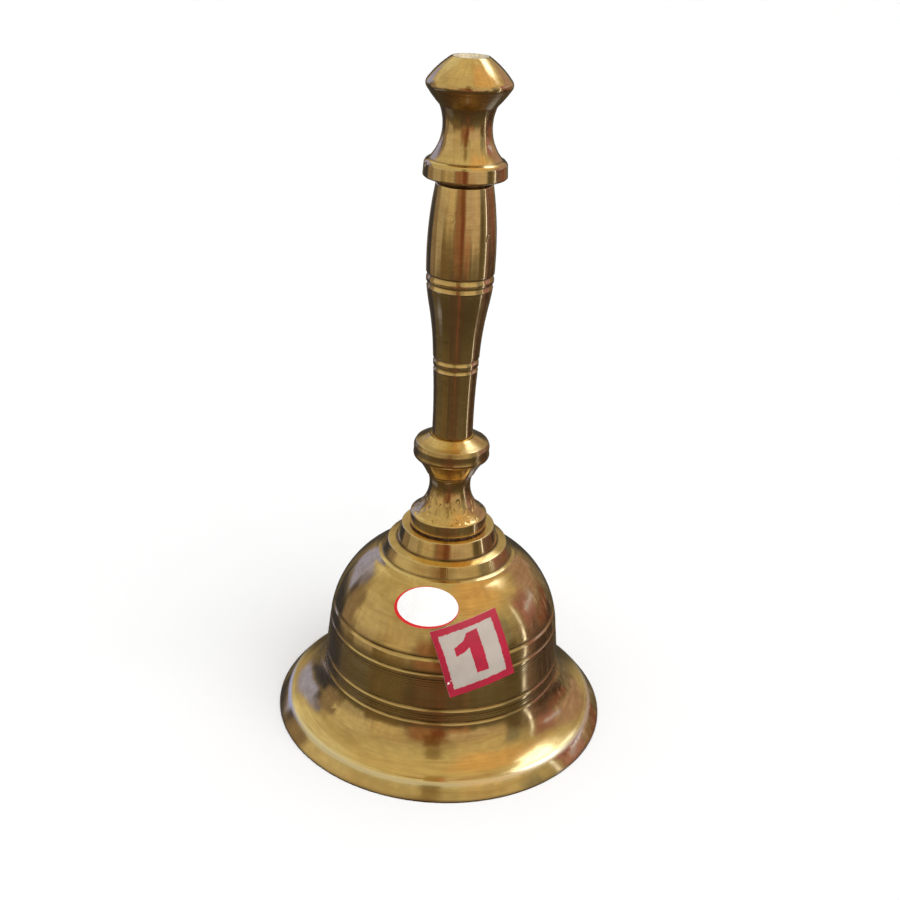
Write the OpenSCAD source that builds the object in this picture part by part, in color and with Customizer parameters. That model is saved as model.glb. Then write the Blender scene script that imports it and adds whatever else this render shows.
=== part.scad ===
// Brass hand bell: a turned shell, a three-piece turned handle on one tie rod,
// and a ball clapper that hangs from an eye inside the crown.
// Millimetres, +Z up the handle, origin at the middle of the mouth, mouth on Z = 0.

/* [Bell] */
// Outer diameter of the mouth
mouth_d = 72; // [70:0.5:76]
// Height of the ridge between the rim band and the flare
rim_h = 3; // [2.8:0.1:3.3]
// How far the ridge stands inside the mouth edge
rim_band_w = 2.2; // [2:0.1:2.4]
// Height where the flare meets the waist
flare_h = 12.2; // [11.8:0.1:12.6]
// Outer radius at the foot of the waist
waist_foot_r = 25.85; // [25.6:0.05:26.1]
// Height of the top of the waist
waist_top_h = 22.9; // [22.4:0.1:23.4]
// Outer radius at the top of the waist
waist_top_r = 24.69; // [24.5:0.05:24.8]
// Radius of the shoulder arc above the waist
shoulder_r = 20.7; // [20.5:0.1:20.9]
// Wall thickness of the cast and turned shell
wall = 1.8; // [1.6:0.1:2]
// Depth of the four turned lines round the waist
line_depth = 0.35; // [0.2:0.05:0.4]

/* [Crown steps] */
// Height of the top ledge, which the handle stands on
ledge_1_h = 45.2; // [45:0.1:45.4]
// Outer radius of the top ledge
ledge_1_r = 9.85; // [9.7:0.05:10]
// Height of the middle ledge at its edge
ledge_2_h = 41.4; // [41.2:0.1:41.6]
// Outer radius of the middle ledge
ledge_2_r = 12.7; // [12.5:0.05:12.9]
// Height of the lowest ledge at its edge
ledge_3_h = 38.7; // [38.6:0.1:38.9]
// Outer radius of the lowest ledge
ledge_3_r = 14.7; // [14.6:0.05:14.8]

/* [Handle foot] */
// Radius of the round flange at the bottom of the foot
flange_r = 8.15; // [8:0.05:8.3]
// Height of that flange
flange_h = 2.6; // [2.4:0.1:2.8]
// Smallest radius of the foot's neck
foot_neck_r = 4.3; // [4.2:0.05:4.5]
// Height of the narrowest point of the foot's neck
foot_neck_h = 54.9; // [54.5:0.1:55.3]
// Outer radius of the collar at the top of the foot
foot_collar_r = 7.85; // [7.7:0.05:8]
// Height of the top edge of that collar
foot_collar_h = 64.5; // [64.3:0.1:64.7]

/* [Grip] */
// Height where the grip stands on the foot
grip_foot_h = 66.1; // [66:0.05:66.2]
// Height of the top of the grip
grip_top_h = 118; // [117.8:0.1:118.2]
// Radius of the slim lower end of the grip
grip_slim_r = 4.22; // [4.1:0.05:4.4]
// Largest radius of the grip
grip_belly_r = 6.75; // [6.6:0.05:6.9]
// Depth of the turned rings round the grip
ring_depth = 0.4; // [0.25:0.05:0.45]

/* [Finial] */
// Radius of the collar at the bottom of the finial
finial_collar_r = 8.1; // [8:0.05:8.2]
// Height of the collar's lower edge
finial_collar_h = 119.2; // [119.1:0.1:119.4]
// Smallest radius of the finial's neck
finial_neck_r = 4.7; // [4.6:0.05:4.8]
// Largest radius of the knob
knob_r = 8.15; // [8:0.05:8.3]
// Height of the knob's widest line
knob_wide_h = 136.2; // [136:0.1:136.4]
// Overall height of the bell
total_h = 141; // [140.8:0.1:141.4]
// Radius of the knob's flat top
knob_top_r = 3.6; // [3.5:0.1:3.8]

/* [Tie rod and clapper] */
// Radius of the tie rod
rod_r = 2.45; // [2.3:0.05:2.45]
// Radius of the holes that the rod runs through
rod_hole_r = 2.5; // [2.5:0.05:2.55]
// Height of the flat seat turned inside the crown
seat_h = 41.2; // [41:0.1:41.4]
// Height of the centre of the eye's hole
eye_h = 32; // [31.8:0.1:32.2]
// Radius of the eye's hole
eye_hole_r = 1.7; // [1.6:0.05:1.8]
// Radius of the wire of the link and of the clapper's loop
wire_r = 0.6; // [0.5:0.05:0.65]
// Mean radius of the wire link
link_r = 3.2; // [3:0.1:3.3]
// Mean radius of the clapper's loop
loop_r = 2; // [1.9:0.1:2.1]
// Radius of the clapper's ball
ball_r = 5.5; // [5:0.1:5.5]
// Height of the ball's centre as it hangs
ball_h = 7; // [6.8:0.1:7.5]

/* [Labels] */
// Side of the square number label
label_side = 14.5; // [14:0.1:14.6]
// Angle of the number label round the bell, from the front
label_turn = 16.8; // [16.5:0.1:30]
// Height of the number label's centre
label_h = 27.1; // [26:0.1:27.2]
// Roll of the number label about its own centre
label_roll = 14.2; // [12:0.1:20]
// Long half-axis of the blank oval label
oval_a = 6.7; // [6:0.1:6.8]
// Short half-axis of the blank oval label
oval_b = 4.4; // [3.8:0.1:4.4]
// Angle of the oval label round the bell, from the front
oval_turn = -11.1; // [-15:0.1:-11]
// Height of the oval label's centre
oval_h = 35.2; // [35.1:0.1:35.4]
// Roll of the oval label about its own centre
oval_roll = 4; // [2:0.5:10]

/* [Hidden] */
$fn = 128;

mouth_r = mouth_d / 2;
lip_bottom_w = 1.7;         // width of the flat ring that the bell stands on
lip_edge_h = 0.3;           // upright part of the outer mouth edge
flare_sag = 1.9;            // hollow of the flare between ridge and waist
inner_flare_sag = 2.4;      // bulge of the inner side, which keeps the flare as thick as the waist
rim_band_sag = -0.06;       // bulge of the rim band
ridge_step = 0.3;           // width and height of the small step beside the ridge
seat_r = 6.6;               // radius of the flat seat inside the crown
packing_h = 0.4;            // thickness of the packing under the foot
flange_z = ledge_1_h + packing_h;
neck_sag = 1.0;             // hollow of the foot's neck below its narrowest point
rod_top_h = total_h - 0.75;
washer_t = 1;
washer_r = 6;
nut_t = 3;
nut_af = 8;                 // across the flats of the clamp nut
washer_z = seat_h - washer_t;
nut_z = washer_z - nut_t;
eye_boss_r = 3.4;
eye_boss_h = 2.4;
eye_boss_z = nut_z - 0.1 - eye_boss_h;
eye_outer_r = 3;
eye_t = 2.4;
rod_bottom_h = eye_boss_z + 0.3;
clearance = 0.05;           // gap between the link and the eye as it hangs
link_drop = link_r - sqrt(link_r * link_r - eye_t * eye_t / 4);
link_top_h = eye_h - (eye_hole_r - wire_r - link_drop - clearance);
loop_top_h = link_top_h - 2 * link_r + 2 * wire_r + clearance;
stem_r = 0.9;
label_gap = 0.02;           // glue line between label and bell
label_t = 0.15;
label_reach = 8;            // length of the prism that cuts a label out of the skin

// Shoulder arc: it runs on from the straight waist without a corner.
waist_lean = atan((waist_foot_r - waist_top_r) / (waist_top_h - flare_h));
shoulder_centre = [waist_top_r - shoulder_r * cos(waist_lean), waist_top_h - shoulder_r * sin(waist_lean)];

// Radius of the bell's outside at height z, offset outwards by t, without the turned lines.
function body_r(z, t = 0) = z < waist_top_h
    ? waist_top_r + (waist_top_h - z) * tan(waist_lean) + t / cos(waist_lean)
    : shoulder_centre.x + sqrt(pow(shoulder_r + t, 2) - pow(z - shoulder_centre.y, 2));

// Points after p, up to q, on an arc whose middle stands sag to the left of the way from p to q.
function arc(p, q, sag, steps = 12) =
    let (chord = norm(q - p),
         left = [p.y - q.y, q.x - p.x] / chord,
         radius = (chord * chord / 4 + sag * sag) / (2 * abs(sag)),
         centre = (p + q) / 2 + left * (sag - sign(sag) * radius),
         start = atan2(p.y - centre.y, p.x - centre.x),
         sweep = -sign(sag) * 2 * asin(chord / (2 * radius)))
    [for (i = [1:steps]) let (a = start + sweep * i / steps) centre + radius * [cos(a), sin(a)]];

// Points on the shell's outside from height z0 up to z1.
function body_side(z0, z1, t = 0, steps = 8) =
    [for (i = [0:steps]) let (z = z0 + (z1 - z0) * i / steps) [body_r(z, t), z]];

// One turned line at height z: a sloping lower side of height low, and a short undercut above it.
line_low = 0.6;
line_high = 0.2;
function turned_line(z, low = line_low) = [[body_r(z - low), z - low],
                                           [body_r(z) - line_depth, z],
                                           [body_r(z + line_high), z + line_high]];

// Heights of the four turned lines: D at the foot of the waist, A on the dome.
line_d_h = flare_h;
line_c_h = flare_h + 3;
line_b_h = waist_top_h + 0.3;
line_a_h = waist_top_h + 3.6;

outer_flare = arc([mouth_r - rim_band_w - ridge_step, rim_h + ridge_step / 2],
                  [body_r(line_d_h - line_low), line_d_h - line_low], flare_sag, 16);
outer_profile = concat(
    [[mouth_r, 0], [mouth_r, lip_edge_h]],
    arc([mouth_r, lip_edge_h], [mouth_r - rim_band_w, rim_h], rim_band_sag, 6),
    [[mouth_r - rim_band_w - ridge_step, rim_h + ridge_step / 2]],
    outer_flare,
    [[body_r(line_d_h) - line_depth, line_d_h], [body_r(line_d_h + line_high), line_d_h + line_high]],
    turned_line(line_c_h),
    turned_line(line_b_h, 0.5),
    body_side(line_b_h + 0.8, line_a_h - 0.9, 0, 3),
    turned_line(line_a_h, 0.7),
    body_side(line_a_h + 0.8, ledge_3_h - 0.5, 0, 16),
    [[ledge_3_r, ledge_3_h - 0.1], [ledge_3_r - 0.1, ledge_3_h], [ledge_3_r - 0.95, ledge_3_h + 0.3],
     [ledge_2_r, ledge_2_h - 0.1], [ledge_2_r - 0.1, ledge_2_h], [ledge_1_r + 0.85, ledge_2_h + 0.3],
     [ledge_1_r, ledge_1_h - 0.1], [ledge_1_r - 0.1, ledge_1_h], [rod_hole_r, ledge_1_h]]);

inner_waist_foot = [waist_foot_r - wall, flare_h - 0.9];
inner_lip = [mouth_r - lip_bottom_w, 1.5];
inner_shoulder = [for (i = [0:16]) let (a = waist_lean + (90 - waist_lean) * i / 16)
    shoulder_centre + (shoulder_r - wall) * [cos(a), sin(a)]];
inner_profile = concat(
    [[rod_hole_r, seat_h], [seat_r, seat_h], [seat_r, shoulder_centre.y + shoulder_r - wall - 0.25]],
    [for (i = [16:-1:0]) if (inner_shoulder[i].x > seat_r + 0.2) inner_shoulder[i]],
    [inner_waist_foot],
    arc(inner_waist_foot, inner_lip, -inner_flare_sag, 12),
    [[mouth_r - lip_bottom_w + 0.1, 0]]);

module turned(points) rotate_extrude() polygon(points);

// A bar along Z with radius r from z0 to z1.
module bar(r, z0, z1) translate([0, 0, z0]) cylinder(r = r, h = z1 - z0);

module bell_shell() color("goldenrod") turned(concat(outer_profile, inner_profile));

module crown_packing() color([0.16, 0.11, 0.08]) difference() {
    bar(flange_r - 0.2, ledge_1_h, flange_z);
    bar(rod_hole_r, ledge_1_h - 1, flange_z + 1);
}

// Foot: flange, hollow neck, stepped cone, collar with a sloping top.
module handle_foot() color("darkgoldenrod") turned(concat(
    [[rod_hole_r, flange_z], [flange_r - 0.1, flange_z], [flange_r, flange_z + 0.15],
     [flange_r - 0.1, flange_z + flange_h - 0.15], [flange_r - 0.25, flange_z + flange_h]],
    arc([flange_r - 0.25, flange_z + flange_h], [foot_neck_r, foot_neck_h], neck_sag, 14),
    arc([foot_neck_r, foot_neck_h], [foot_neck_r + 0.28, foot_neck_h + 1.9], 0.06, 4),
    [[foot_neck_r + 0.42, foot_neck_h + 2.1], [foot_neck_r + 0.5, foot_neck_h + 2.4],
     [foot_neck_r + 0.8, foot_neck_h + 2.6]],
    arc([foot_neck_r + 0.8, foot_neck_h + 2.6], [foot_collar_r - 0.5, foot_collar_h - 3.6], 0.18, 6),
    arc([foot_collar_r - 0.5, foot_collar_h - 3.6], [foot_collar_r, foot_collar_h - 2.4], -0.25, 5),
    [[foot_collar_r, foot_collar_h - 0.8], [foot_collar_r - 0.4, foot_collar_h]],
    arc([foot_collar_r - 0.4, foot_collar_h], [grip_slim_r + 0.4, grip_foot_h - 0.15], 0.08, 5),
    [[grip_slim_r + 0.4, grip_foot_h - 0.4], [grip_slim_r - 0.1, grip_foot_h - 0.5],
     [rod_hole_r, grip_foot_h - 0.5]]));

// One turned ring round the grip: a sloping lower side of height low, and a short undercut above it.
ring_high = 0.2;
function ring_cut(r, z, low, lean = 0) =
    [[r + lean, z - low], [r - ring_depth, z], [r - lean, z + ring_high]];

// Grip: a baluster with its belly above the middle and two pairs of turned rings.
belly_h = 103.2;
upper_rings_h = 99.5;
lower_rings_h = 81.95;
ring_gap = 0.87;            // from the middle of a pair to each of its rings
upper_ring_low = 0.95;      // height of the sloping side of an upper ring
lower_ring_low = 0.72;      // and of a lower ring
taper_mid = [5.85, 93.4];   // where the taper under the belly turns from hollow to full
grip_top_r = 5.55;
module handle_grip() color("peru") turned(concat(
    [[rod_hole_r, grip_foot_h - 0.5], [grip_slim_r - 0.1, grip_foot_h - 0.5],
     [grip_slim_r, grip_foot_h + 0.2]],
    arc([grip_slim_r, grip_foot_h + 0.2],
        [grip_slim_r + 0.3, lower_rings_h - ring_gap - lower_ring_low - 0.05], 0.14, 6),
    ring_cut(grip_slim_r + 0.34, lower_rings_h - ring_gap, lower_ring_low, -0.03),
    ring_cut(grip_slim_r + 0.43, lower_rings_h + ring_gap, lower_ring_low, -0.03),
    arc([grip_slim_r + 0.47, lower_rings_h + ring_gap + ring_high + 0.05], taper_mid, 0.2, 8),
    arc(taper_mid, [grip_belly_r - 0.23, upper_rings_h - ring_gap - upper_ring_low - 0.05], -0.04, 4),
    ring_cut(grip_belly_r - 0.15, upper_rings_h - ring_gap, upper_ring_low, -0.06),
    ring_cut(grip_belly_r - 0.06, upper_rings_h + ring_gap, upper_ring_low, -0.02),
    arc([grip_belly_r - 0.04, upper_rings_h + ring_gap + ring_high + 0.05],
        [grip_belly_r, belly_h], -0.01, 3),
    arc([grip_belly_r, belly_h], [grip_top_r, grip_top_h - 0.2], -0.34, 12),
    [[grip_top_r - 0.15, grip_top_h], [rod_hole_r, grip_top_h]]));

// Finial: spigot, collar, hollow neck, knob with a recess in its top.
spigot_r = 5;
finial_neck_h = 128.6;      // height of the narrowest point of the neck
finial_throat_h = 132.2;    // height where the neck turns into the cone under the knob
collar_shoulder = [finial_collar_r - 1.1, finial_collar_h + 3.3];
module handle_finial() color("goldenrod") turned(concat(
    [[rod_hole_r, grip_top_h], [spigot_r, grip_top_h], [spigot_r, finial_collar_h - 0.3],
     [finial_collar_r - 0.3, finial_collar_h - 0.15], [finial_collar_r, finial_collar_h + 0.1],
     [finial_collar_r - 0.15, finial_collar_h + 2.5], [finial_collar_r - 0.3, finial_collar_h + 2.75]],
    arc([finial_collar_r - 0.3, finial_collar_h + 2.75], collar_shoulder, -0.12, 4),
    arc(collar_shoulder, [finial_neck_r, finial_neck_h], 0.6, 12),
    arc([finial_neck_r, finial_neck_h], [finial_neck_r + 0.71, finial_throat_h], 0.17, 6),
    arc([finial_neck_r + 0.75, finial_throat_h + 0.1], [knob_r - 0.15, knob_wide_h - 0.7], -0.1, 4),
    arc([knob_r - 0.15, knob_wide_h - 0.7], [knob_r - 0.2, knob_wide_h + 0.6], -0.18, 5),
    arc([knob_r - 0.2, knob_wide_h + 0.6], [knob_top_r, total_h], -0.27, 10),
    [[knob_top_r - 0.55, total_h - 0.05], [knob_top_r - 0.95, total_h - 0.6],
     [rod_hole_r, total_h - 0.85]]));

module tie_rod() color([0.72, 0.60, 0.36]) difference() {
    bar(rod_r, rod_bottom_h, rod_top_h);
    translate([0, 0, rod_top_h - 0.35]) cylinder(r1 = 0.2, r2 = 1.1, h = 0.36);
}

module crown_washer() color([0.66, 0.52, 0.30]) difference() {
    bar(washer_r, washer_z, seat_h);
    bar(rod_hole_r, washer_z - 1, seat_h + 1);
}

module clamp_nut() color([0.70, 0.56, 0.32]) difference() {
    translate([0, 0, nut_z]) cylinder(r = nut_af / sqrt(3), h = nut_t, $fn = 6);
    bar(rod_hole_r, nut_z - 1, washer_z + 1);
}

// Eye: a round boss screwed on the rod's end, over a flat plate with the cross hole.
module clapper_eye() color([0.68, 0.53, 0.30]) difference() {
    union() {
        bar(eye_boss_r, eye_boss_z, eye_boss_z + eye_boss_h);
        translate([-eye_t / 2, -eye_outer_r, eye_h])
            cube([eye_t, 2 * eye_outer_r, eye_boss_z + 0.5 - eye_h]);
        translate([-eye_t / 2, 0, eye_h]) rotate([0, 90, 0]) cylinder(r = eye_outer_r, h = eye_t);
    }
    bar(rod_hole_r, rod_bottom_h, eye_boss_z + eye_boss_h + 1);
    translate([-eye_t, 0, eye_h]) rotate([0, 90, 0]) cylinder(r = eye_hole_r, h = 2 * eye_t);
}

// A wire ring of mean radius r, standing in the XZ plane, with its top wire at height top.
module wire_ring(r, top) translate([0, 0, top - r]) rotate([90, 0, 0])
    rotate_extrude() translate([r, 0]) circle(r = wire_r, $fn = 32);

module clapper_link() color([0.55, 0.42, 0.22]) wire_ring(link_r, link_top_h);

loop_bottom_h = loop_top_h - 2 * loop_r;
module clapper_stem() color([0.62, 0.48, 0.26]) union() {
    rotate([0, 0, 90]) wire_ring(loop_r, loop_top_h);
    bar(stem_r, ball_h + ball_r - 0.2, loop_bottom_h + 0.3);
}

module clapper_ball() color([0.66, 0.50, 0.27]) difference() {
    translate([0, 0, ball_h]) sphere(r = ball_r);
    bar(stem_r, ball_h + ball_r - 0.2, ball_h + ball_r + 1);
}

// Children, drawn on XY, pushed through the bell's wall at a turn and height, square to the wall.
module through_wall(turn, h, roll) rotate([0, 0, turn])
    translate([0, -body_r(h), h]) rotate([90 - lean_at(h), 0, 0])
    rotate([0, 0, roll]) linear_extrude(label_reach, center = true) children();

// How far the wall leans back from upright at height h, in degrees.
function lean_at(h) = h < waist_top_h ? -waist_lean : asin((h - shoulder_centre.y) / shoulder_r);

module number_label() color([0.80, 0.08, 0.26]) intersection() {
    body_skin(line_d_h + 1.8, ledge_3_h - 1.7);
    through_wall(label_turn, label_h, label_roll) square(label_side, center = true);
}

module blank_label() color("white") intersection() {
    body_skin(line_a_h + 1.6, ledge_3_h - 0.5);
    through_wall(oval_turn, oval_h, oval_roll) scale([1, oval_b / oval_a]) circle(r = oval_a);
}

// A thin skin over the outside of the bell from height z0 up to z1: outer side up, inner side down.
module body_skin(z0, z1) turned(concat(
    body_side(z0, z1, label_gap + label_t, 24),
    [for (i = [24:-1:0]) let (z = z0 + (z1 - z0) * i / 24) [body_r(z, label_gap), z]]));

bell_shell();
crown_packing();
handle_foot();
handle_grip();
handle_finial();
tie_rod();
crown_washer();
clamp_nut();
clapper_eye();
clapper_link();
clapper_stem();
clapper_ball();
number_label();
blank_label();
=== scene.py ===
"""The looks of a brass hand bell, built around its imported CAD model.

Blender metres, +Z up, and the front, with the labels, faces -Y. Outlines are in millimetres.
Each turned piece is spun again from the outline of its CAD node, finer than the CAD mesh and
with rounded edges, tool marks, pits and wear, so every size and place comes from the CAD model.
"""

import math

import bmesh
import bpy
import numpy as np
from mathutils import Matrix, Vector, noise
from mathutils.geometry import delaunay_2d_cdt


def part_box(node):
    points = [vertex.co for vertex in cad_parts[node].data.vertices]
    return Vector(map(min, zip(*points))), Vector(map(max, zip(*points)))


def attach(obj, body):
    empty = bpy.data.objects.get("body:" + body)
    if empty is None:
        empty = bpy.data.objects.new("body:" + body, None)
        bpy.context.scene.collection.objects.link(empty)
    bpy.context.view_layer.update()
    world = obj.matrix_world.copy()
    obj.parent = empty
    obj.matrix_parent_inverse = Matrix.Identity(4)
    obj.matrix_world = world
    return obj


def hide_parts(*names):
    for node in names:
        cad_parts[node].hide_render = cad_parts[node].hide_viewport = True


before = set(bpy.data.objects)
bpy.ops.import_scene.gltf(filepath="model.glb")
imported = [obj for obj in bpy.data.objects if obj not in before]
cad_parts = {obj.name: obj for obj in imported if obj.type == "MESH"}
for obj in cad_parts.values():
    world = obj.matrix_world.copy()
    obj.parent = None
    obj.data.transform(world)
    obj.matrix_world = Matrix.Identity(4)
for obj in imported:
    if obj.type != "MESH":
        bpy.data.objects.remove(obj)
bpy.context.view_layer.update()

MM = 0.001
FRONT = -90.0               # degrees round the axis from +X to the side with the labels


# ---------------------------------------------------------------- outlines of turned pieces

SAME_POINT = 0.006          # mm, mesh points closer than this are one corner of an outline
HARD_TURN = 20.0            # degrees, an outline that turns more than this has a real edge there
DEEP_TURN = -35.0           # degrees, the inner corners of turned lines turn at least this much
FULL_TURN = 60.0            # degrees, this sharp: an edge has full wear and painted highlight, a corner full dirt and painted shade
WEAR_AND_HIGHLIGHT_REACH = 0.16           # mm, how far wear and its painted highlight go from an edge
DIRT_AND_SHADE_REACH = 0.20           # mm, how far dirt and painted shade go from a corner


def turned_outline(node):
    """The closed loop of (radius, height) in mm that a turned CAD node was spun from.
    It starts at the bottom of the bore, and goes out, up the outside and back down the bore."""
    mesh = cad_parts[node].data
    co = np.array([v.co for v in mesh.vertices], float) / MM
    flat = np.c_[np.hypot(co[:, 0], co[:, 1]), co[:, 2]]
    corners = []
    corner_of = np.zeros(len(flat), int)
    for i, p in enumerate(flat):
        gaps = [abs(p[0] - c[0]) + abs(p[1] - c[1]) for c in corners]
        nearest = int(np.argmin(gaps)) if gaps else 0
        if not gaps or gaps[nearest] > SAME_POINT:
            corners.append(p)
            nearest = len(corners) - 1
        corner_of[i] = nearest
    links = {i: set() for i in range(len(corners))}
    for edge in mesh.edges:
        a, b = (int(corner_of[v]) for v in edge.vertices)
        if a != b:
            links[a].add(b)
            links[b].add(a)
    walk = [0, min(links[0])]
    while len(walk) < len(corners):
        walk.append(next(n for n in links[walk[-1]] if n != walk[-2]))
    loop = np.array([corners[i] for i in walk])
    following = np.roll(loop, -1, axis=0)
    if np.sum(loop[:, 0] * following[:, 1] - following[:, 0] * loop[:, 1]) < 0:
        loop = loop[::-1]
    start = int(np.argmin(loop[:, 0] * 1000 + loop[:, 1]))
    return np.roll(loop, -start, axis=0)


def turn_at(loop):
    """Turn in degrees at each point of a closed loop: above 0 at an outer edge, below 0 in a corner."""
    before = loop - np.roll(loop, 1, axis=0)
    after = np.roll(loop, -1, axis=0) - loop
    cross = before[:, 0] * after[:, 1] - before[:, 1] * after[:, 0]
    dot = np.sum(before * after, axis=1)
    return np.degrees(np.arctan2(cross, dot))


def corners_in(loop, low, high):
    """Heights of the sharp inner corners of the outside between two heights, lowest first."""
    return sorted(p[1] for p, t in zip(loop, turn_at(loop)) if t < DEEP_TURN and low < p[1] < high)


def refined(loop, edge, step):
    """A closed loop with its real edges rounded by edge mm and its curves made smooth, in steps of about
    step mm. Returns the points, and at each its wear and painted highlight, and its dirt and painted shade."""
    count = len(loop)
    turns = turn_at(loop)
    hard = np.abs(turns) > HARD_TURN
    size = np.linalg.norm(np.roll(loop, -1, axis=0) - loop, axis=1)     # of the side after each point
    forward = (np.roll(loop, -1, axis=0) - loop) / size[:, None]
    backward = np.roll(forward, 1, axis=0)
    size_before = np.roll(size, 1)
    # A curve's direction at a point leans towards that of its shorter side.
    lean = forward * size_before[:, None] + backward * size[:, None]
    lean /= np.linalg.norm(lean, axis=1)[:, None]
    points, creases = [], []
    for i in range(count):
        j = (i + 1) % count
        start, end = loop[i], loop[j]
        if hard[i]:
            cut = min(edge, 0.3 * size[i], 0.3 * size_before[i])
            before, after = start - backward[i] * cut, start + forward[i] * cut
            creases.append((len(points) + 1, turns[i]))
            for t in (0.0, 0.5, 1.0):
                points.append((1 - t) ** 2 * before + 2 * t * (1 - t) * start + t * t * after)
            start = after
        else:
            points.append(start)
        if hard[j]:
            end = end - backward[j] * min(edge, 0.3 * size[j], 0.3 * size[i])
        leave = forward[i] if hard[i] else lean[i]
        arrive = forward[i] if hard[j] else lean[j]
        gap = np.linalg.norm(end - start)
        steps = max(1, int(math.ceil(gap / step)))
        for k in range(1, steps):
            t = k / steps
            points.append((2 * t ** 3 - 3 * t ** 2 + 1) * start + (t ** 3 - 2 * t ** 2 + t) * gap * leave
                          + (3 * t ** 2 - 2 * t ** 3) * end + (t ** 3 - t ** 2) * gap * arrive)
    points = np.array(points)
    along = distance_along(points)
    wear_and_highlight, dirt_and_shade = np.zeros(len(points)), np.zeros(len(points))
    # Outer edges get wear and a painted highlight, inner corners dirt and painted shade.
    for k, turn in creases:
        target, reach = (wear_and_highlight, WEAR_AND_HIGHLIGHT_REACH) if turn > 0 else (dirt_and_shade, DIRT_AND_SHADE_REACH)
        near = np.exp(-((along - along[k]) / reach) ** 2) * min(1.0, abs(turn) / FULL_TURN)
        np.maximum(target, near, out=target)
    return points, wear_and_highlight, dirt_and_shade


def distance_along(points):
    """Distance in mm along a line of points, from its first."""
    return np.concatenate([[0], np.cumsum(np.linalg.norm(np.diff(points, axis=0), axis=1))])


PER_GROOVE = 5              # outline points for each groove of the tool marks
GROOVE_DIRT_AND_SHADE = 1.25          # dirt and painted shade in the deepest groove


def with_tool_marks(points, extras, low, high, pitch, depth, seed, faint=1.0):
    """Cuts fine turned ridges into the outside between two heights, as strong as faint at the lower one.
    extras are values kept at each point, the second being the dirt and painted shade, which grows in the
    grooves."""
    rng = np.random.default_rng(seed)
    along = distance_along(points)
    outward = np.c_[np.gradient(points[:, 1]), -np.gradient(points[:, 0])]
    outside = (outward[:, 0] > 0) & (points[:, 1] > low) & (points[:, 1] < high)
    first, last = np.flatnonzero(outside)[[0, -1]]
    count = max(1, round((along[last] - along[first]) / pitch))
    at = np.linspace(along[first], along[last], count * PER_GROOVE + 1)
    line = np.c_[np.interp(at, along, points[:, 0]), np.interp(at, along, points[:, 1])]
    slope = np.gradient(line, axis=0)
    normal = np.c_[slope[:, 1], -slope[:, 0]] / np.linalg.norm(slope, axis=1)[:, None]
    depths = depth * rng.uniform(0.55, 1.0, count) * np.linspace(faint, 1, count)
    depths = np.repeat(depths, PER_GROOVE)
    wave = 0.5 - 0.5 * np.cos(2 * np.pi * np.arange(len(at)) / PER_GROOVE)
    dug = np.append(depths, 0) * wave
    line = line - normal * dug[:, None]
    out = np.concatenate([points[:first], line, points[last + 1:]])
    kept = [np.concatenate([e[:first], np.interp(at, along, e), e[last + 1:]]) for e in extras]
    # Painted shade, with dirt, in each groove, as strong as the groove is deep.
    groove_dirt_and_shade = kept[1][first:first + len(line)]
    np.maximum(groove_dirt_and_shade, GROOVE_DIRT_AND_SHADE * dug / depth, out=groove_dirt_and_shade)
    return out, kept


# ---------------------------------------------------------------- meshes

def linked(name, data):
    """A new object in the scene."""
    obj = bpy.data.objects.new(name, data)
    bpy.context.scene.collection.objects.link(obj)
    return obj


def new_mesh(name, vertices, faces, materials):
    """A mesh from vertices in metres."""
    mesh = bpy.data.meshes.new(name)
    mesh.from_pydata(vertices.tolist(), [], faces)
    for material in materials:
        mesh.materials.append(material)
    return mesh


def grid_mesh(name, grid, attributes, materials, material_of_row=None, closed=True):
    """A piece from a (rows, columns, 3) grid in mm that runs round the axis by columns, and closes on itself
    by rows if closed. Its shading normals are those of the grid, so that flat faces stay flat."""
    rows, columns = grid.shape[:2]
    last = rows if closed else rows - 1
    i, j = np.meshgrid(np.arange(last), np.arange(columns), indexing="ij")
    i2, j2 = (i + 1) % rows, (j + 1) % columns
    quads = np.stack([i * columns + j, i * columns + j2, i2 * columns + j2, i2 * columns + j], -1)
    vertices, faces = grid.reshape(-1, 3), quads.reshape(-1, 4).tolist()
    if closed:
        slope = np.roll(grid, -1, axis=0) - np.roll(grid, 1, axis=0)
    else:
        slope = np.gradient(grid, axis=0)
    around = np.roll(grid, -1, axis=1) - np.roll(grid, 1, axis=1)
    normals = np.cross(around, slope).reshape(-1, 3)
    normals /= np.maximum(np.linalg.norm(normals, axis=1), 1e-12)[:, None]
    if not closed:                          # a point in the middle of each end closes it
        for row, ends in ((0, (j[0], j2[0])), (rows - 1, (j2[0], j[0]))):
            middle = len(vertices)
            vertices = np.vstack([vertices, grid[row].mean(axis=0)])
            normals = np.vstack([normals, (grid[row] - grid[rows // 2]).mean(axis=0)])
            faces += [[row * columns + a, row * columns + b, middle] for a, b in zip(ends[1], ends[0])]
    mesh = new_mesh(name, vertices * MM, faces, materials)
    if len(materials) > 1:
        material_of_face = np.repeat(material_of_row[:last], columns).astype(np.int32)
        mesh.polygons.foreach_set("material_index", material_of_face)
    for key, values in attributes.items():
        layer = mesh.attributes.new(key, "FLOAT", "POINT")
        spread = np.repeat(values, columns)
        spread = spread if closed else np.append(spread, values[[0, -1]])
        layer.data.foreach_set("value", spread.astype(np.float32))
    mesh.shade_smooth()
    mesh.normals_split_custom_set_from_vertices(normals.tolist())
    return linked(name, mesh)


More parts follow.
